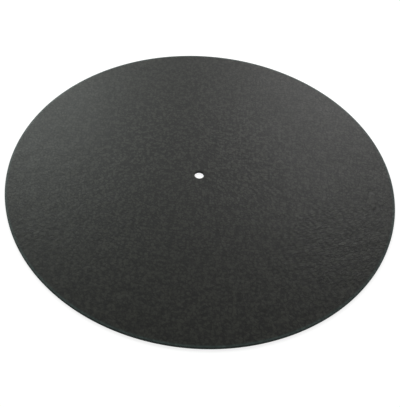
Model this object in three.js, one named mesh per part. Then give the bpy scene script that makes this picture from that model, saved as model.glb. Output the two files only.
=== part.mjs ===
// Turntable platter mat: one disc of black leather that lies on the platter under the record.
// It is cut from the hide in one stroke of a ring-shaped die, and a hollow punch opens the hole
// that drops over the spindle. It is a single piece of a single material, so it is one solid.
// Units are millimetres and +Z is up. The origin is the centre of the spindle hole on the flesh
// side, which is the face that lies on the platter. The grain side faces up, to the record.
import * as THREE from "three";

// The disc
const matDiameter = 300;
const leatherThickness = 1.8;

// The spindle, and the room that the punched hole leaves around it on each side
const spindleDiameter = 7.1;
const spindleClearance = 0.05;

// The outer edge, as the die leaves it. The knife comes down from the grain side, so it draws
// the grain over into a small round, and its wall leans out towards the flesh side.
const rimRound = 0.5;
const rimLeanDegrees = 3;

// The edge of the spindle hole, as the finer punch leaves it
const holeRound = 0.3;
const holeLeanDegrees = 2;

// Both edges are sanded on the flesh side, which leaves a narrow bevel at the very foot
const fleshBevel = 0.15;

// Facets: sides around the disc, and half the sides across each small round
const sidesAround = 180;
const halfSidesAcrossRound = 2;

const matRadius = matDiameter / 2;
const holeRadius = spindleDiameter / 2 + spindleClearance;

// Where a cut edge's round has its centre, and how far the wall below it leans. The wall starts
// at the top of the flesh bevel, where the leather reaches furthest, leans back by the given
// angle, and runs into the round without a corner. depth is measured into the leather.
function cutEdge(roundRadius, leanDegrees) {
  const round = Math.min(roundRadius, leatherThickness - fleshBevel);
  const lean = THREE.MathUtils.degToRad(leanDegrees);
  const height = leatherThickness - round;
  const wallTop = height + round * Math.sin(lean);
  const leanedBack = (wallTop - fleshBevel) * Math.tan(lean);
  return { round, lean, height, depth: leanedBack + round * Math.cos(lean) };
}

// Half of the mat cut through its axis: x is the distance from the spindle's axis, y the height.
// The outline goes round the leather: in at the flesh side, up the hole's wall, out along the
// grain face, and down the rim.
function crossSection() {
  const hole = cutEdge(holeRound, holeLeanDegrees);
  const rim = cutEdge(rimRound, rimLeanDegrees);
  const outline = new THREE.Path();

  outline.moveTo(matRadius - fleshBevel, 0);
  outline.lineTo(matRadius, fleshBevel);
  outline.absarc(matRadius - rim.depth, rim.height, rim.round, rim.lean, Math.PI / 2, false);

  outline.absarc(
    holeRadius + hole.depth,
    hole.height,
    hole.round,
    Math.PI / 2,
    Math.PI - hole.lean,
    false,
  );
  outline.lineTo(holeRadius, fleshBevel);
  outline.lineTo(holeRadius + fleshBevel, 0);
  outline.closePath();
  return outline;
}

// The section turned once around the spindle's axis
function turnedDisc() {
  const disc = new THREE.LatheGeometry(crossSection().getPoints(halfSidesAcrossRound), sidesAround);
  return disc.rotateX(Math.PI / 2);
}

const blackLeather = new THREE.MeshStandardMaterial({
  color: 0x262725,
  roughness: 0.6,
  metalness: 0,
});

const platterMat = new THREE.Mesh(turnedDisc(), blackLeather);
platterMat.name = "platter_mat";

const turntableMat = new THREE.Group();
turntableMat.add(platterMat);

export default turntableMat;
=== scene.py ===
# %% [markdown]
# A leather mat for a record player's platter
#
# The object is one disc of black leather, 300 mm across and under 2 mm thick, with a punched hole that
# drops over the spindle. A flat black disc is a hard thing to make look real, because almost all that
# the eye gets is the sheen: how the grain breaks up the light, how the hide lies not quite flat, and
# how the cut edge catches a thin line. This lesson turns the disc from its section, gives it the
# unevenness of a hide, and then spends its care on three finishes.

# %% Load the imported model
from math import cos, exp, hypot, pi, radians, sin

import bmesh
import bpy
from mathutils import Matrix, Vector


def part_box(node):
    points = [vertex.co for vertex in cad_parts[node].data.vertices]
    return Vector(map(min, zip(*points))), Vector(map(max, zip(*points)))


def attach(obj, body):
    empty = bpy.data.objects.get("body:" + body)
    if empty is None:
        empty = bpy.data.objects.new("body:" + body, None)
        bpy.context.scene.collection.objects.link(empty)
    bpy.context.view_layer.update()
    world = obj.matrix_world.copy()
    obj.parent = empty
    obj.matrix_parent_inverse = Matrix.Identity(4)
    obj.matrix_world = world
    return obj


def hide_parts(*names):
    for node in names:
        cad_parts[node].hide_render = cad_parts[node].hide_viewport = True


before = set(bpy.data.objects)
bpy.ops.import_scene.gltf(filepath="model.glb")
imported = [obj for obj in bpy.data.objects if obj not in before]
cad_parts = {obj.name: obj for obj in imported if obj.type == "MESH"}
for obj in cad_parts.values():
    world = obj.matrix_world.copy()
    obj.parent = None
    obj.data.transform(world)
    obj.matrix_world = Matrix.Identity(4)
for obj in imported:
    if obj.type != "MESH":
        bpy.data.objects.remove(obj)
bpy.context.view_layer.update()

bpy.ops.object.select_all(action="DESELECT")

# %% [markdown]
# The sizes
#
# The solid model already says how large everything is, so the sizes are read from it and not written
# a second time. The box gives the radius and the thickness. The hole is not in the box, but no point
# of the solid is nearer to the axis than the hole's edge.

# %% Read the sizes from the solid
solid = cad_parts["platter_mat"]
box_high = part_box("platter_mat")[1]
mat_radius = box_high.x
thickness = box_high.z
hole_radius = min(hypot(v.co.x, v.co.y) for v in solid.data.vertices)
mm = 0.001
print(f"radius {mat_radius / mm:.1f} mm, thickness {thickness / mm:.2f} mm")
print(f"radius of the hole {hole_radius / mm:.2f} mm")

# %% [markdown]
# The camera
#
# The photograph looks down on the mat from a little over halfway up. Its outline is an ellipse, and
# the ellipse and the place of the hole together give the camera: how far away it stands, how high, and
# how it is rolled. The photograph was cropped off its optical axis, and a lens shift, counted here in
# the picture's pixels, stands for that. The camera is made first, so that every later step can be
# judged through it.

# %% Place the camera
image_width, image_height = 400, 407
camera_place = Vector((0, -362.0, 391.7)) * mm
camera_aim = Vector((-28.0, -27.1, 1.8)) * mm
camera_roll = radians(1.48)
sensor_width, lens_length = 36, 60.13
crop_right, crop_down = 40, 5.75
nearest_seen = 0.01

bpy.ops.object.camera_add(location=camera_place)
camera = bpy.context.object
camera.name = "photo_camera"
upright = (camera_aim - camera_place).to_track_quat("-Z", "Y")
camera.rotation_euler = (upright.to_matrix() @ Matrix.Rotation(camera_roll, 3, "Z")).to_euler()
camera.data.sensor_width = sensor_width
camera.data.lens = lens_length
camera.data.shift_x = crop_right / max(image_width, image_height)
camera.data.shift_y = -crop_down / max(image_width, image_height)
camera.data.clip_start = nearest_seen
bpy.context.scene.camera = camera
print(f"camera {(camera_place - camera_aim).length:.3f} m from the point it is aimed at")

# %% [markdown]
# Picking by place
#
# By hand you would click on an edge or a corner. In a script the same choice is a question about
# place: the edge at the top, the corner furthest out. One helper asks that question of every vertex,
# edge or face, selects what passes, and says how many that was, because a selection of nothing is the
# commonest slip.

# %% A helper that selects by place
def pick(piece, kind, wanted):
    bpy.ops.mesh.select_mode(type=kind)
    bpy.ops.mesh.select_all(action="DESELECT")
    shape = bmesh.from_edit_mesh(piece.data)
    parts = {"VERT": shape.verts, "EDGE": shape.edges, "FACE": shape.faces}[kind]
    count = 0
    for part in parts:
        corners = [part] if kind == "VERT" else part.verts
        if all(wanted(corner.co) for corner in corners):
            part.select_set(True)
            count += 1
    bmesh.update_edit_mesh(piece.data)
    return count

# %% [markdown]
# The section of the leather
#
# A die is pressed down through the hide from the grain side. It draws the grain over at the edge, so
# the top corner is a small round, and its wall leans a little outwards on its way down. The punch
# that makes the spindle hole does the same at a smaller scale. So the mat is drawn as half a section,
# a long thin rectangle that stands on the floor between the hole and the rim. A plane is laid down and
# stood up for it, and its two top corners are pulled in for the lean.

# %% Draw half the section
rim_lean, hole_lean = radians(3), radians(2)
tolerance = 0.01 * mm
middle = (hole_radius + mat_radius) / 2
half_length = (mat_radius - hole_radius) / 2
half_height = thickness / 2

bpy.ops.mesh.primitive_plane_add(size=1, location=(middle, 0, half_height), rotation=(radians(90), 0, 0))
mat = bpy.context.object
mat.name = "leather_mat"
mat.data.name = "leather_mat"
mat.scale = (2 * half_length, thickness, 1)
bpy.ops.object.transform_apply(location=True, rotation=True, scale=True)

bpy.ops.object.mode_set(mode="EDIT")
for side, lean in ((1, rim_lean), (-1, hole_lean)):
    count = pick(mat, "VERT", lambda p: p.z > thickness - tolerance and (p.x - middle) * side > 0)
    pulled_in = thickness * sin(lean)
    bpy.ops.transform.translate(value=(-side * pulled_in, 0, 0))
    print(f"pulled {count} top corner in by {pulled_in / mm:.3f} mm")

# %% [markdown]
# Four corners, four bevels
#
# Each corner is bevelled by its own amount: large at the rim, where the die draws the grain over, less
# at the hole, and only a sanded trace at the foot. A corner is found by its place, at one end of the
# section and at its top or its foot.

# %% Bevel the corners
rim_round, hole_round, flesh_bevel = 0.5 * mm, 0.3 * mm, 0.15 * mm
corners = (
    # where it is, towards the rim or the hole, up or down, its size, its number of steps
    ("rim, grain side", 1, 1, rim_round, 6),
    ("hole, grain side", -1, 1, hole_round, 5),
    ("rim, flesh side", 1, -1, flesh_bevel, 2),
    ("hole, flesh side", -1, -1, flesh_bevel, 2),
)
nearly_at_the_end = half_length - thickness * sin(rim_lean) - tolerance
nearly_half_way_up = half_height - tolerance
for name, side, up, size, steps in corners:
    count = pick(
        mat,
        "VERT",
        lambda p: (p.z - half_height) * up > nearly_half_way_up
        and (p.x - middle) * side > nearly_at_the_end,
    )
    bpy.ops.mesh.bevel(affect="VERTICES", offset=size, segments=steps)
    print(f"bevelled {count} corner at the {name} by {size / mm:.2f} mm")

# %% [markdown]
# Points enough to carry the hide's unevenness
#
# The section is about to be turned round the spindle's axis. The unevenness that comes later moves
# vertices, so the long top line needs points close together, and the flat underside only a few. The
# face of the section is deleted first, because only its outline is turned.

# %% Divide the lines of the section
grain_rings = 90
flesh_rings = 8
wall_rings = 2

bpy.ops.mesh.select_mode(type="FACE")
bpy.ops.mesh.select_all(action="SELECT")
bpy.ops.mesh.delete(type="ONLY_FACE")


def divide(wanted_edge, cuts):
    bpy.ops.mesh.select_mode(type="EDGE")
    bpy.ops.mesh.select_all(action="DESELECT")
    shape = bmesh.from_edit_mesh(mat.data)
    for edge in shape.edges:
        edge.select_set(wanted_edge(edge))
    bmesh.update_edit_mesh(mat.data)
    bpy.ops.mesh.subdivide(number_cuts=cuts)


long_line = mat_radius / 2
divide(lambda e: e.calc_length() > long_line and e.verts[0].co.z > half_height, grain_rings)
divide(lambda e: e.calc_length() > long_line and e.verts[0].co.z < half_height, flesh_rings)
divide(lambda e: abs(e.verts[0].co.z - e.verts[1].co.z) > half_height, wall_rings)
bpy.ops.object.mode_set(mode="OBJECT")
print(f"the outline of the section has {len(mat.data.vertices)} points")

# %% [markdown]
# The turn
#
# The wrinkles of this hide are only a few millimetres apart, so the turn is made in steps of about one
# millimetre at the rim. Spin would make it, but it gets slow past a hundred steps, and the Screw
# modifier with no rise makes the same turn at once. The last step meets the first, so doubles are
# merged, and then the normals are made to point outwards, because a turned shape can come out inside
# out.

# %% Turn the section into a disc
turn_steps = 768
merge_distance = 0.0005 * mm

turn = mat.modifiers.new("turn", "SCREW")
turn.axis = "Z"
turn.angle = 2 * pi
turn.screw_offset = 0
turn.steps = turn_steps
turn.render_steps = turn_steps
turn.use_merge_vertices = True
turn.merge_threshold = merge_distance
bpy.ops.object.modifier_apply(modifier=turn.name)

bpy.ops.object.mode_set(mode="EDIT")
bpy.ops.mesh.select_all(action="SELECT")
bpy.ops.mesh.remove_doubles(threshold=merge_distance)
bpy.ops.mesh.normals_make_consistent(inside=False)
bpy.ops.object.mode_set(mode="OBJECT")
print(f"disc: {len(mat.data.vertices)} vertices, {len(mat.data.polygons)} faces")

# %% [markdown]
# Finer faces where the scratch will be
#
# Near the right edge lies a small healed scratch, and its groove is narrower than the faces are long.
# Only the faces around it are divided further, which costs a few thousand triangles where the whole
# disc would cost two million.

# %% Divide the faces around the scratch
scratch_middle = Vector((132.6, -11.5)) * mm
around_scratch = Vector((6, 14)) * mm
scratch_cuts = 3

bpy.ops.object.mode_set(mode="EDIT")
count = pick(
    mat,
    "FACE",
    lambda p: p.z > thickness - tolerance
    and abs(p.x - scratch_middle.x) < around_scratch.x
    and abs(p.y - scratch_middle.y) < around_scratch.y,
)
bpy.ops.mesh.subdivide(number_cuts=scratch_cuts)
bpy.ops.object.mode_set(mode="OBJECT")
print(f"{count} faces around the scratch are divided more finely")

# %% [markdown]
# Where the hide differs
#
# No hide is even. At the lower right of the photograph the grain is drawn into fine wrinkles that run
# to the right and a little back, at the lower left there is a fainter patch of them, and in the middle
# the hide is firm and its plates stand out. Each of these is a soft patch, so it is written as a weight: 1
# in the middle of the patch and 0 away from it. They all fade out before the two cut edges.

# %% The weights of the wide patches
edge_margin = 2.5 * mm
wrinkle_direction = radians(27)
wrinkle_patches = (
    # middle of the patch, half its size along and across the wrinkles, their direction, strength
    (Vector((106, -56)) * mm, 46 * mm, 40 * mm, wrinkle_direction, 1.0),
    (Vector((-112, -72)) * mm, 34 * mm, 26 * mm, radians(-10), 0.5),
)
firm_middle, firm_reach = Vector((-22, 2)) * mm, 78 * mm


def smooth_step(value):
    value = min(max(value, 0), 1)
    return value * value * (3 - 2 * value)


def face_weight(place):
    """1 on the grain face, falling to 0 at the rim and at the hole, and 0 below."""
    if place.z < thickness - tolerance:
        return 0
    reach = hypot(place.x, place.y)
    room = min(mat_radius - rim_round - reach, reach - hole_radius - hole_round)
    return smooth_step(room / edge_margin)


def wrinkle_weight(place):
    total = 0
    for patch_middle, along, across, direction, strength in wrinkle_patches:
        offset = Matrix.Rotation(-direction, 2) @ (place.xy - patch_middle)
        total += strength * exp(-((offset.x / along) ** 2 + (offset.y / across) ** 2))
    return min(total, 1)


def firm_weight(place):
    """1 in the middle of the mat, where this hide is firmest, and 0 towards the rim."""
    return exp(-(((place.xy - firm_middle).length / firm_reach) ** 4))


print(f"{len(wrinkle_patches)} wrinkled patches, and a firm one {2 * firm_reach / mm:.0f} mm across")

# %% [markdown]
# The scratch and the rim
#
# The healed scratch is a narrow ellipse of smooth skin with a groove round it, deepest at its two
# ends. Beside the rim there is one more patch, a ring at the rounded rim, and it is a painted
# highlight: a fine, lighter line where the rounded edge catches the light.

# %% The weights of the scratch and of the rim
scratch_size = Vector((2.6, 9.5)) * mm
groove_width = 0.6 * mm
shallowest = 0.25
healed_from, healed_fade = 0.8, 0.5
# The ring of painted highlight at the rim: how far in from the edge it lies, and how wide it is.
rim_highlight_middle, rim_highlight_half_width = 0.5 * mm, 0.9 * mm


def scratch_ratio(place):
    """0 in the middle of the scratch and 1 on its outline."""
    x, y = place.xy - scratch_middle
    return hypot(x / scratch_size.x, y / scratch_size.y)


def scratch_weight(place):
    gap = abs(scratch_ratio(place) - 1) * scratch_size.x
    towards_end = min(abs(place.y - scratch_middle.y) / scratch_size.y, 1)
    return (shallowest + (1 - shallowest) * towards_end**3) * exp(-((gap / groove_width) ** 2))


def healed_weight(place):
    """1 on the skin inside the groove, where no grain has grown back."""
    return 1 - smooth_step((scratch_ratio(place) - healed_from) / healed_fade)


# A painted highlight: a ring on the rounded rim, where the edge catches the light.
def rim_highlight_weight(place):
    if place.z < thickness - rim_round:
        return 0
    from_rim = mat_radius - hypot(place.x, place.y)
    return exp(-(((from_rim - rim_highlight_middle) / rim_highlight_half_width) ** 2))


print(f"scratch {2 * scratch_size.y / mm:.0f} mm long, groove {groove_width / mm:.1f} mm wide")

# %% [markdown]
# From weights to the mesh
#
# A vertex group hands the weights to the modifiers that move the surface. The finish needs four of
# them as well, and it reads them with an Attribute node, so those are kept as attributes, under names
# of their own.

# %% Weigh every vertex
least_weight = 0.002
weights = {"hide": [], "wrinkled": [], "scratched": [], "healed": [], "rim_highlight": [], "firm": []}
for vertex in mat.data.vertices:
    on_face = face_weight(vertex.co)
    weights["hide"].append(on_face)
    weights["wrinkled"].append(on_face * wrinkle_weight(vertex.co))
    weights["scratched"].append(on_face * scratch_weight(vertex.co))
    weights["healed"].append(on_face * healed_weight(vertex.co))
    weights["rim_highlight"].append(rim_highlight_weight(vertex.co))
    weights["firm"].append(on_face * firm_weight(vertex.co))

for name in ("hide", "wrinkled", "scratched", "healed"):
    group = mat.vertex_groups.new(name=name)
    for index, value in enumerate(weights[name]):
        if value > least_weight:
            group.add([index], value, "REPLACE")

# One of these carries the ring of painted highlight along the rim into the finish.
attribute_names = {
    "drawn_grain": "wrinkled",
    "healed_skin": "healed",
    "painted_rim_highlight": "rim_highlight",
    "firm_grain": "firm",
}
for name, source in attribute_names.items():
    attribute = mat.data.attributes.new(name, "FLOAT", "POINT")
    attribute.data.foreach_set("value", weights[source])
for name, values in weights.items():
    print(f"{name}: {sum(value > 0.5 for value in values)} vertices are weighted by more than half")

# %% [markdown]
# Letting it lie like leather
#
# The unevenness is real height, about a tenth of a millimetre at most, and the low sheen makes it show.
# Four layers build it. The hide's substance varies over some centimetres, the skin is mottled over
# one, small lumps lie closer still, and the wrinkles are a noise that is stretched along their
# direction. A Displace modifier can read its noise through an empty, so an empty that is turned and
# stretched turns and stretches the noise. Each modifier is applied, and the empty is removed.

# %% Displace the grain face by noise
def displace(name, group, noise_size, height, direction=0, stretch=1):
    bpy.ops.object.empty_add(location=(0, 0, 0), rotation=(0, 0, direction))
    guide = bpy.context.object
    guide.scale = (stretch, 1, 1)
    noise = bpy.data.textures.new(name, "CLOUDS")
    noise.noise_scale = noise_size
    noise.noise_depth = 0
    bpy.ops.object.select_all(action="DESELECT")
    bpy.context.view_layer.objects.active = mat
    mat.select_set(True)
    layer = mat.modifiers.new(name, "DISPLACE")
    layer.texture = noise
    layer.texture_coords = "OBJECT"
    layer.texture_coords_object = guide
    layer.direction = "Z"
    layer.mid_level = 0.5
    layer.strength = height
    layer.vertex_group = group
    bpy.context.view_layer.update()
    bpy.ops.object.modifier_apply(modifier=name)
    bpy.data.objects.remove(guide)
    bpy.data.textures.remove(noise)
    top = max(v.co.z for v in mat.data.vertices)
    print(f"{name}: highest point now {top / mm:.3f} mm")


displace("substance", "hide", noise_size=45 * mm, height=0.15 * mm)
displace("mottle", "hide", noise_size=11 * mm, height=0.09 * mm)
displace("lumps", "hide", noise_size=4.5 * mm, height=0.04 * mm)
displace(
    "wrinkles",
    "wrinkled",
    noise_size=2.6 * mm,
    height=0.155 * mm,
    direction=wrinkle_direction,
    stretch=3.6,
)

# %% [markdown]
# The groove and the healed skin
#
# The scratch needs no noise. The same modifier without a texture moves every vertex by its weight:
# down along the groove, and a little up where the skin has healed. The disc is then shaded smooth,
# apart from edges that are really sharp.

# %% Press in the scratch and shade the disc
scratch_depth, healed_rise = 0.22 * mm, 0.07 * mm
sharp_angle = 35

for group, height in (("scratched", -scratch_depth), ("healed", healed_rise)):
    step = mat.modifiers.new(group, "DISPLACE")
    step.direction = "Z"
    step.mid_level = 0
    step.strength = height
    step.vertex_group = group
    bpy.ops.object.modifier_apply(modifier=step.name)

bpy.ops.object.shade_smooth_by_angle(angle=radians(sharp_angle))
print(f"shaded {len(mat.data.polygons)} faces smooth, apart from edges over {sharp_angle} degrees")

# %% [markdown]
# Nodes in a few words
#
# A material is a graph of nodes, and a graph in code is hard to read when every node takes five
# lines. One helper adds a node, sets its plain settings, and fills or links its inputs, so that each
# node is one call and the graph reads from top to bottom like a recipe. Some nodes have several inputs
# of one name, and those are given by their number, as _0 or _1.

# %% A helper that adds one node
def add(tree, kind, settings=None, **inputs):
    node = tree.nodes.new(kind)
    for name, value in (settings or {}).items():
        setattr(node, name, value)
    for name, value in inputs.items():
        key = int(name[1:]) if name[0] == "_" and name[1:].isdigit() else name.replace("_", " ")
        socket = node.inputs[key]
        if isinstance(value, bpy.types.NodeSocket):
            tree.links.new(value, socket)
        else:
            socket.default_value = value
    return node

# %% [markdown]
# Arithmetic in nodes
#
# A finish is mostly arithmetic: values are added up, two of them are blended, and a range is mapped to
# another one. Each of these gets a short helper on top of the first, with the name of what it does.

# %% Helpers for sums, blends and ramps
def calculate(tree, operation, first, second=0.0):
    return add(tree, "ShaderNodeMath", {"operation": operation}, _0=first, _1=second).outputs[0]


def scaled_sum(tree, *terms):
    """Adds up values, each of them times its own factor."""
    total = 0.0
    for value, factor in terms:
        total = calculate(tree, "ADD", total, calculate(tree, "MULTIPLY", value, factor))
    return total


def vector(tree, operation, first, second):
    return add(tree, "ShaderNodeVectorMath", {"operation": operation}, _0=first, _1=second).outputs[0]


def blend(tree, factor, first, second):
    node = add(tree, "ShaderNodeMix", {"data_type": "FLOAT"}, Factor=factor, A=first, B=second)
    return node.outputs["Result"]


def blend_colour(tree, factor, first, second):
    node = add(tree, "ShaderNodeMix", {"data_type": "RGBA"}, Factor=factor, _6=first, _7=second)
    return node.outputs[2]


def ramp(tree, value, low, high, to_low=0.0, to_high=1.0):
    """Maps a value softly from one range to another."""
    node = add(
        tree,
        "ShaderNodeMapRange",
        {"interpolation_type": "SMOOTHSTEP"},
        Value=value,
        From_Min=low,
        From_Max=high,
        To_Min=to_low,
        To_Max=to_high,
    )
    return node.outputs["Result"]

# %% [markdown]
# Groups, places and noises
#
# What several finishes share is built once, as a node group. The patterns follow the piece's own
# coordinates, so they go with it wherever it is put, and they are counted in millimetres, because that
# is the scale in which one thinks of grain.

# %% Helpers for groups and coordinates
def start_group(name, inputs, outputs):
    """A new shader node group with named sockets, and its input and output nodes."""
    tree = bpy.data.node_groups.new(name, "ShaderNodeTree")
    for label, kind, value in inputs:
        socket = tree.interface.new_socket(name=label, in_out="INPUT", socket_type=kind)
        if value is not None:
            socket.default_value = value
    for label in outputs:
        tree.interface.new_socket(name=label, in_out="OUTPUT", socket_type="NodeSocketFloat")
    return tree, tree.nodes.new("NodeGroupInput").outputs, tree.nodes.new("NodeGroupOutput").inputs


def place_group(tree, group, **inputs):
    return add(tree, "ShaderNodeGroup", {"node_tree": group}, **inputs).outputs


def millimetres(tree):
    """The piece's own coordinates, counted in millimetres."""
    place = add(tree, "ShaderNodeTexCoord").outputs["Object"]
    return vector(tree, "MULTIPLY", place, (1 / mm, 1 / mm, 1 / mm))


def flat_noise(tree, place, per_mm, **more):
    """A noise in the plane of the leather, with the given number of waves in a millimetre."""
    settings = {"noise_dimensions": "2D"}
    return add(tree, "ShaderNodeTexNoise", settings, Vector=place, Scale=per_mm, **more).outputs["Fac"]


def attribute_value(tree, name):
    return add(tree, "ShaderNodeAttribute", {"attribute_name": name}).outputs["Fac"]

# %% [markdown]
# The grain, as a group
#
# Leather grain is a net of fine creases between small rounded plates. The group that makes it takes
# the place and the three weights that change the grain, and it puts out a height in millimetres, a
# mask of the creases, and how much wax lies on each spot, with painted shade in the creases added to
# that wax value. Straight coordinates would give plates like crazy paving, so they are bent by a noise
# first. For the wrinkles they are stretched as well, along the direction in which the hide is drawn.

# %% Start the grain group and bend its coordinates
bends_per_mm, bend_reach = 0.30, 1.8
wrinkle_stretch = (3.0, 1.1, 1.0)

grain, inside, result = start_group(
    "Leather grain",
    [
        ("Place", "NodeSocketVector", None),
        ("Wrinkled", "NodeSocketFloat", 0.0),
        ("Healed", "NodeSocketFloat", 0.0),
        ("Firm", "NodeSocketFloat", 0.0),
    ],
    ["Height", "Crease", "Wax_and_shade"],
)
bend_noise = add(
    grain,
    "ShaderNodeTexNoise",
    {"noise_dimensions": "2D"},
    Vector=inside["Place"],
    Scale=bends_per_mm,
    Detail=2.0,
)
either_way = vector(grain, "SUBTRACT", bend_noise.outputs["Color"], (0.5, 0.5, 0.5))
bend = vector(grain, "MULTIPLY", either_way, (bend_reach, bend_reach, 0))
bent = vector(grain, "ADD", inside["Place"], bend)
drawn = add(
    grain,
    "ShaderNodeMapping",
    {"vector_type": "TEXTURE"},
    Vector=bent,
    Rotation=(0, 0, wrinkle_direction),
    Scale=wrinkle_stretch,
).outputs["Vector"]
print(f"grain group: coordinates bent by up to {bend_reach / 2:.1f} mm")

# %% [markdown]
# Plates and creases
#
# A Voronoi texture gives the distance to the nearest border between its cells, and that is the net:
# near 0 is the bottom of a crease, and further in is the top of a plate. Three nets are made, the
# plates, the drawn plates of the wrinkles and finer plates that divide both. The drawn plates take
# over where the hide is wrinkled, and on the healed skin the net gives way to an even level.

# %% Make the nets of plates
irregular = 0.95
plate_size, drawn_plate_size, fine_plate_size = 2.7, 2.0, 1.1
healed_level = 0.8


def plate_net(tree, place, size, shoulder):
    cells = add(
        tree,
        "ShaderNodeTexVoronoi",
        {"feature": "DISTANCE_TO_EDGE", "voronoi_dimensions": "2D"},
        Vector=place,
        Scale=1.0 / size,
        Randomness=irregular,
    )
    return ramp(tree, cells.outputs["Distance"], 0.0, shoulder)


plates = plate_net(grain, bent, plate_size, shoulder=0.24)
drawn_plates = plate_net(grain, drawn, drawn_plate_size, shoulder=0.26)
fine_plates = plate_net(grain, bent, fine_plate_size, shoulder=0.30)
takes_over = ramp(grain, inside["Wrinkled"], low=0.25, high=0.55)
net = blend(grain, takes_over, plates, drawn_plates)
net = blend(grain, inside["Healed"], net, healed_level)
grain.links.new(calculate(grain, "SUBTRACT", 1.0, net), result["Crease"])
print(f"plates of {plate_size}, {drawn_plate_size} and {fine_plate_size} mm")

# %% [markdown]
# The height of the grain
#
# The height adds up the net, the fine plates, a soft swell of a few millimetres, and pores. Outside
# the firm middle and the wrinkles the photograph shows a flatter grain, so the sum is lowered there.

# %% Add up the height
net_height, fine_height, swell_height, pore_height = 0.026, 0.003, 0.09, 0.001
swells_per_mm, pores_per_mm = 0.35, 3.2
flattest = 0.66

swell = flat_noise(grain, bent, swells_per_mm, Detail=1.0)
pores = flat_noise(grain, inside["Place"], pores_per_mm, Detail=2.0)
height = scaled_sum(
    grain,
    (net, net_height),
    (fine_plates, fine_height),
    (swell, swell_height),
    (pores, pore_height),
)
stands_out = calculate(grain, "MAXIMUM", inside["Firm"], takes_over)
relief = calculate(grain, "ADD", flattest, calculate(grain, "MULTIPLY", stands_out, 1 - flattest))
grain.links.new(calculate(grain, "MULTIPLY", height, relief), result["Height"])
print(f"a crease is up to {net_height} mm deep")

# %% [markdown]
# The wax on the plates, and painted shade in the creases
#
# Seen from a step away, grain is less a relief than a speckle: some plates took more dye and wax than
# their neighbours. A smooth Voronoi gives every plate a tone of its own. To it come the net, which is
# painted shade in the creases, wider patches and small specks. In the firm middle the tones lie further
# from their mean.

# %% Add up the wax and the painted crease shade
# The net's share paints shade into the creases; tone, patches and specks are wax that differs at random.
tone_share, crease_shade_share, patch_share, speck_share = 0.20, 0.40, 0.40, 0.60
patches_per_mm, specks_per_mm = 0.15, 0.34
mean_wax_and_shade, firm_contrast = 0.93, 0.95

plate_tone = add(
    grain,
    "ShaderNodeTexVoronoi",
    {"feature": "SMOOTH_F1", "voronoi_dimensions": "2D"},
    Vector=bent,
    Scale=1 / plate_size,
    Smoothness=0.25,
    Randomness=irregular,
)
tone = add(grain, "ShaderNodeSeparateColor", {}, Color=plate_tone.outputs["Color"]).outputs["Red"]
patches = flat_noise(grain, bent, patches_per_mm, Detail=3.0, Roughness=0.72)
specks = flat_noise(grain, bent, specks_per_mm, Detail=1.0)
wax_and_shade = scaled_sum(
    grain,
    (tone, tone_share),
    (net, crease_shade_share),
    (ramp(grain, patches, low=0.3, high=0.7), patch_share),
    (ramp(grain, specks, low=0.25, high=0.75), speck_share),
)
away = calculate(grain, "SUBTRACT", wax_and_shade, mean_wax_and_shade)
contrast = calculate(grain, "ADD", 1.0, calculate(grain, "MULTIPLY", inside["Firm"], firm_contrast))
wax_and_shade = calculate(grain, "ADD", mean_wax_and_shade, calculate(grain, "MULTIPLY", away, contrast))
grain.links.new(wax_and_shade, result["Wax_and_shade"])
print(f"grain group: {len(grain.nodes)} nodes")

# %% [markdown]
# How the dye has taken, as a group
#
# Dye never goes on evenly. Two noises, one over the width of three fingers and one over a fingertip,
# are added up to a single drift value around 0.5. All three finishes read it, each with its own effect.

# %% Build the drift group
broad_per_mm, close_per_mm = 0.018, 0.09
drift_low, drift_high = 0.35, 0.65

drift_group, inside, result = start_group("Dye drift", [("Place", "NodeSocketVector", None)], ["Drift"])
broad = add(drift_group, "ShaderNodeTexNoise", {}, Vector=inside["Place"], Scale=broad_per_mm, Detail=2.0)
close = add(drift_group, "ShaderNodeTexNoise", {}, Vector=inside["Place"], Scale=close_per_mm, Detail=3.0)
drift = scaled_sum(drift_group, (broad.outputs["Fac"], 0.5), (close.outputs["Fac"], 0.5))
drift_group.links.new(drift, result["Drift"])
print(f"drift group: {len(drift_group.nodes)} nodes")

# %% [markdown]
# Fibres, as a group
#
# Below the grain, leather is a felt of fibres. It shows on the cut edge and on the flesh side. A
# noise with a good deal of fine detail, distorted by itself, reads as matted fibre. The group puts out
# its height and a mask of the loose, lighter ends.

# %% Build the fibre group
felt_height = 0.12
loose_from, loose_to = 0.5, 0.72

fibre_group, inside, result = start_group(
    "Leather fibre",
    [("Place", "NodeSocketVector", None), ("Fibre Size", "NodeSocketFloat", 0.4)],
    ["Height", "Loose Ends"],
)
fibres_per_mm = calculate(fibre_group, "DIVIDE", 1.0, inside["Fibre Size"])
felt = add(
    fibre_group,
    "ShaderNodeTexNoise",
    {},
    Vector=inside["Place"],
    Scale=fibres_per_mm,
    Detail=5.0,
    Roughness=0.65,
    Distortion=1.2,
).outputs["Fac"]
fibre_group.links.new(calculate(fibre_group, "MULTIPLY", felt, felt_height), result["Height"])
fibre_group.links.new(ramp(fibre_group, felt, loose_from, loose_to), result["Loose Ends"])
print(f"fibre group: {len(fibre_group.nodes)} nodes")

# %% [markdown]
# From a graph to a material
#
# All three finishes start empty and end alike: a Bump node turns the height into a normal, and one
# Principled shader takes the colour, the roughness and that normal. Heights are in millimetres, so the
# bump's distance is one millimetre. Numbers that are the same all over, such as IOR, are set on the
# shader.

# %% Helpers that start and finish a material
def start_material(name):
    material = bpy.data.materials.new(name)
    material.use_nodes = True
    tree = material.node_tree
    tree.nodes.clear()
    return material, tree


def finish_material(tree, colour, roughness, height, bump_strength, **constants):
    bump = add(tree, "ShaderNodeBump", {}, Strength=bump_strength, Distance=mm, Height=height)
    shader = add(
        tree,
        "ShaderNodeBsdfPrincipled",
        {},
        Base_Color=colour,
        Roughness=roughness,
        Normal=bump.outputs["Normal"],
        **constants,
    )
    add(tree, "ShaderNodeOutputMaterial", {}, Surface=shader.outputs["BSDF"])
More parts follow.
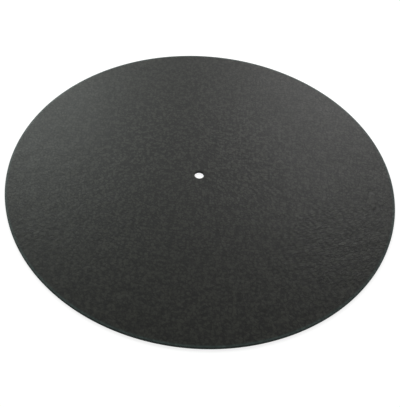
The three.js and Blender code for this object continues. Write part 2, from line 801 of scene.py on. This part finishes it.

# %% [markdown]
# The grain side
#
# Black leather is dark, but what the photograph shows is mostly its sheen: a soft reflection of the
# studio from the wax on the plates. So the colour is nearly black with a trace of green, the roughness
# lies under a half, and both drift a little with the dye. The creases are painted darker, a painted
# shade, and they are rougher. Along the rim a cooler grey ring is a painted highlight, least in the
# creases.

# %% Make the finish of the grain side
light_dye, deep_dye = (0.0220, 0.0228, 0.0184, 1), (0.0252, 0.0261, 0.0212, 1)
# Near black, for plates with little wax and for the painted shade in the creases.
bare_and_crease_shade_colour = (0.0027, 0.0028, 0.0022, 1)
# The colour of the painted highlight along the rim, and how much of it is left in the creases.
rim_highlight_colour = (0.047, 0.070, 0.065, 1)
least_wax_and_shade, most_wax_and_shade = 0.42, 1.44
rim_highlight_in_creases = 0.55
rough_dye, glossy_dye, crease_roughness = 0.395, 0.375, 0.06
grain_bump, wax_sheen = 1.0, 0.146

grain_finish, tree = start_material("black_grain_leather")
place = millimetres(tree)
hide_grain = place_group(
    tree,
    grain,
    Place=place,
    Wrinkled=attribute_value(tree, "drawn_grain"),
    Healed=attribute_value(tree, "healed_skin"),
    Firm=attribute_value(tree, "firm_grain"),
)
dye = place_group(tree, drift_group, Place=place)["Drift"]
colour = blend_colour(tree, ramp(tree, dye, drift_low, drift_high), light_dye, deep_dye)
# Low values take the colour to near black: plates with little wax at random, and painted shade in the
# creases.
colour = blend_colour(tree, ramp(tree, hide_grain["Wax_and_shade"], least_wax_and_shade, most_wax_and_shade), bare_and_crease_shade_colour, colour)
# A painted highlight: a cooler grey ring along the rounded rim, weaker over the creases.
rim_highlight_over_plates = ramp(tree, hide_grain["Wax_and_shade"], least_wax_and_shade, most_wax_and_shade, rim_highlight_in_creases, 1.0)
painted_rim_highlight = calculate(tree, "MULTIPLY", attribute_value(tree, "painted_rim_highlight"), rim_highlight_over_plates)
colour = blend_colour(tree, painted_rim_highlight, colour, rim_highlight_colour)
roughness = calculate(
    tree,
    "ADD",
    ramp(tree, dye, drift_low, drift_high, rough_dye, glossy_dye),
    calculate(tree, "MULTIPLY", hide_grain["Crease"], crease_roughness),
)
finish_material(
    tree,
    colour,
    roughness,
    hide_grain["Height"],
    grain_bump,
    IOR=1.45,
    Specular_IOR_Level=wax_sheen,
)
print(f"{grain_finish.name}: {len(tree.nodes)} nodes")

# %% [markdown]
# The cut edge
#
# The cut edge was dyed over bare fibre, so it is dark, matt and close, and a little cooler than the
# grain. Its fibres are small, because the die has pressed them together.

# %% Make the finish of the cut edge
edge_fibre_size, edge_bump = 0.5, 0.8
edge_dark, edge_light = (0.023, 0.031, 0.028, 1), (0.041, 0.052, 0.048, 1)
edge_rough, edge_pressed = 0.80, 0.72

edge_finish, tree = start_material("dyed_cut_edge")
place = millimetres(tree)
fibre = place_group(tree, fibre_group, Place=place, Fibre_Size=edge_fibre_size)
dye = place_group(tree, drift_group, Place=place)["Drift"]
colour = blend_colour(tree, fibre["Loose Ends"], edge_dark, edge_light)
roughness = ramp(tree, dye, drift_low, drift_high, edge_rough, edge_pressed)
finish_material(tree, colour, roughness, fibre["Height"], edge_bump, IOR=1.35)
print(f"{edge_finish.name}: {len(tree.nodes)} nodes")

# %% [markdown]
# The flesh side
#
# The flesh side has a short nap like suede, and its fibre ends are a shade lighter. Its roughness is
# high, and a little sheen stands for the light that the nap catches at a low angle.

# %% Make the finish of the flesh side
nap_fibre_size, nap_bump = 1.1, 1.0
nap_dark, nap_light = (0.018, 0.018, 0.017, 1), (0.064, 0.062, 0.057, 1)
nap_rough, nap_brushed = 0.95, 0.88

flesh_finish, tree = start_material("flesh_side_nap")
place = millimetres(tree)
fibre = place_group(tree, fibre_group, Place=place, Fibre_Size=nap_fibre_size)
dye = place_group(tree, drift_group, Place=place)["Drift"]
colour = blend_colour(tree, fibre["Loose Ends"], nap_dark, nap_light)
roughness = ramp(tree, dye, drift_low, drift_high, nap_rough, nap_brushed)
finish_material(tree, colour, roughness, fibre["Height"], nap_bump, IOR=1.35, Sheen_Weight=0.25)
print(f"{flesh_finish.name}: {len(tree.nodes)} nodes")

# %% [markdown]
# One mesh, three finishes
#
# The mat stays one piece, and each face is told which finish it wears. The grain side reaches over
# the drawn-down corner, the cut edge is the leaning wall, and what faces the floor is flesh.

# %% Assign the finishes
grain_above = sin(radians(20))
flesh_below = -sin(radians(60))

for finish in (grain_finish, edge_finish, flesh_finish):
    mat.data.materials.append(finish)
counts = [0, 0, 0]
for face in mat.data.polygons:
    if face.normal.z > grain_above:
        slot = 0
    elif face.normal.z < flesh_below:
        slot = 2
    else:
        slot = 1
    face.material_index = slot
    counts[slot] += 1
print("faces of grain, cut edge and flesh:", counts)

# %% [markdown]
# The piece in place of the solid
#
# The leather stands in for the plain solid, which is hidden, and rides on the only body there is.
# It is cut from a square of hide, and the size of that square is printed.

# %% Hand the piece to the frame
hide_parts("platter_mat")
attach(mat, "root")
print(f"cut from a square of {2 * mat_radius / mm:.0f} mm")

# %% [markdown]
# The studio
#
# The photograph was taken on white. Making a floor white with light would flood the mat, so the
# whiteness is painted: the Light Path node tells the floor and the world which rays come from the
# camera or a reflection, and to those they glow white. As light that falls on the mat, they are far
# dimmer. The floor keeps enough of its own paint for the mat's shadow to show on it, and glows more
# further out, where the lamps don't reach.

# %% Build the floor
floor_size = 8
floor_paint_level = 0.35
glow_near, glow_far = 0.81, 1.0
near_edge, far_edge = 0.25, 0.9


def white_to_the_eye(tree):
    """1 for the rays that see a background, straight on, in a gloss or through something clear."""
    path = add(tree, "ShaderNodeLightPath").outputs
    seen = calculate(tree, "MAXIMUM", path["Is Camera Ray"], path["Is Glossy Ray"])
    return calculate(tree, "MAXIMUM", seen, path["Is Transmission Ray"])


bpy.ops.mesh.primitive_plane_add(size=floor_size, location=(0, 0, 0))
floor = bpy.context.object
floor.name = "studio_floor"
floor_finish, tree = start_material("white_floor")
place = add(tree, "ShaderNodeTexCoord").outputs["Object"]
from_middle = add(tree, "ShaderNodeVectorMath", {"operation": "LENGTH"}, _0=place).outputs["Value"]
glow = ramp(tree, from_middle, near_edge, far_edge, glow_near, glow_far)
paint_colour = (floor_paint_level, floor_paint_level, floor_paint_level, 1)
paint = add(tree, "ShaderNodeBsdfDiffuse", {}, Color=paint_colour)
seen_glow = calculate(tree, "MULTIPLY", white_to_the_eye(tree), glow)
white = add(tree, "ShaderNodeEmission", {}, Strength=seen_glow)
both = add(tree, "ShaderNodeAddShader", {}, _0=paint.outputs[0], _1=white.outputs[0])
add(tree, "ShaderNodeOutputMaterial", {}, Surface=both.outputs[0])
floor.data.materials.append(floor_finish)
print(f"floor {floor_size} m across")

# %% [markdown]
# The room around it
#
# Past the floor lies the world. To the eye it is the same white, and as light it is a weak, even fill
# that keeps the shadow side of the grain from going black.

# %% Build the world
world_light = 0.2
world = bpy.data.worlds.new("studio")
bpy.context.scene.world = world
world.use_nodes = True
tree = world.node_tree
tree.nodes.clear()
room_light = add(tree, "ShaderNodeBackground", {}, Color=(1, 1, 1, 1), Strength=world_light)
backdrop = add(tree, "ShaderNodeBackground", {}, Color=(1, 1, 1, 1), Strength=1.0)
mixed = add(
    tree,
    "ShaderNodeMixShader",
    {},
    _0=white_to_the_eye(tree),
    _1=room_light.outputs[0],
    _2=backdrop.outputs[0],
)
add(tree, "ShaderNodeOutputWorld", {}, Surface=mixed.outputs[0])
bpy.context.scene.view_settings.view_transform = "Standard"
print(f"world light {world_light}, and white behind everything")

# %% [markdown]
# Three soft lamps
#
# The mat is brightest at its upper left and upper right, and from its upper middle a darker band runs
# down to the dark front. A flat sheet reflects like a mirror that is badly blurred, so each bright
# region points back at a lamp. Two stand behind the mat, one to each side and a little lower than the
# camera, the left one stronger and cooler. A third, weak and low, lifts the far edge between them.

# %% Place the soft lamps
lamp_reach = 1.2
lamp_size = 0.5
lamps = (
    # name, direction from straight back in degrees, height in degrees, power in watts, colour
    ("soft_lamp_left", -29, 36, 8.0, (0.935, 1.0, 0.965)),
    ("soft_lamp_right", 20, 37, 5.9, (1.0, 0.995, 1.0)),
    ("soft_lamp_back", -2, 15, 0.8, (1.0, 1.0, 1.0)),
)
for name, sideways, upwards, power, colour in lamps:
    turn_to, rise = radians(sideways), radians(upwards)
    towards = Vector((sin(turn_to) * cos(rise), cos(turn_to) * cos(rise), sin(rise)))
    bpy.ops.object.light_add(type="AREA", location=towards * lamp_reach)
    lamp = bpy.context.object
    lamp.name = name
    lamp.rotation_euler = (-towards).to_track_quat("-Z", "Y").to_euler()
    lamp.data.size = lamp_size
    lamp.data.energy = power
    lamp.data.color = colour
    print(f"{name}: {power} W, {sideways} degrees to the side and {upwards} up")
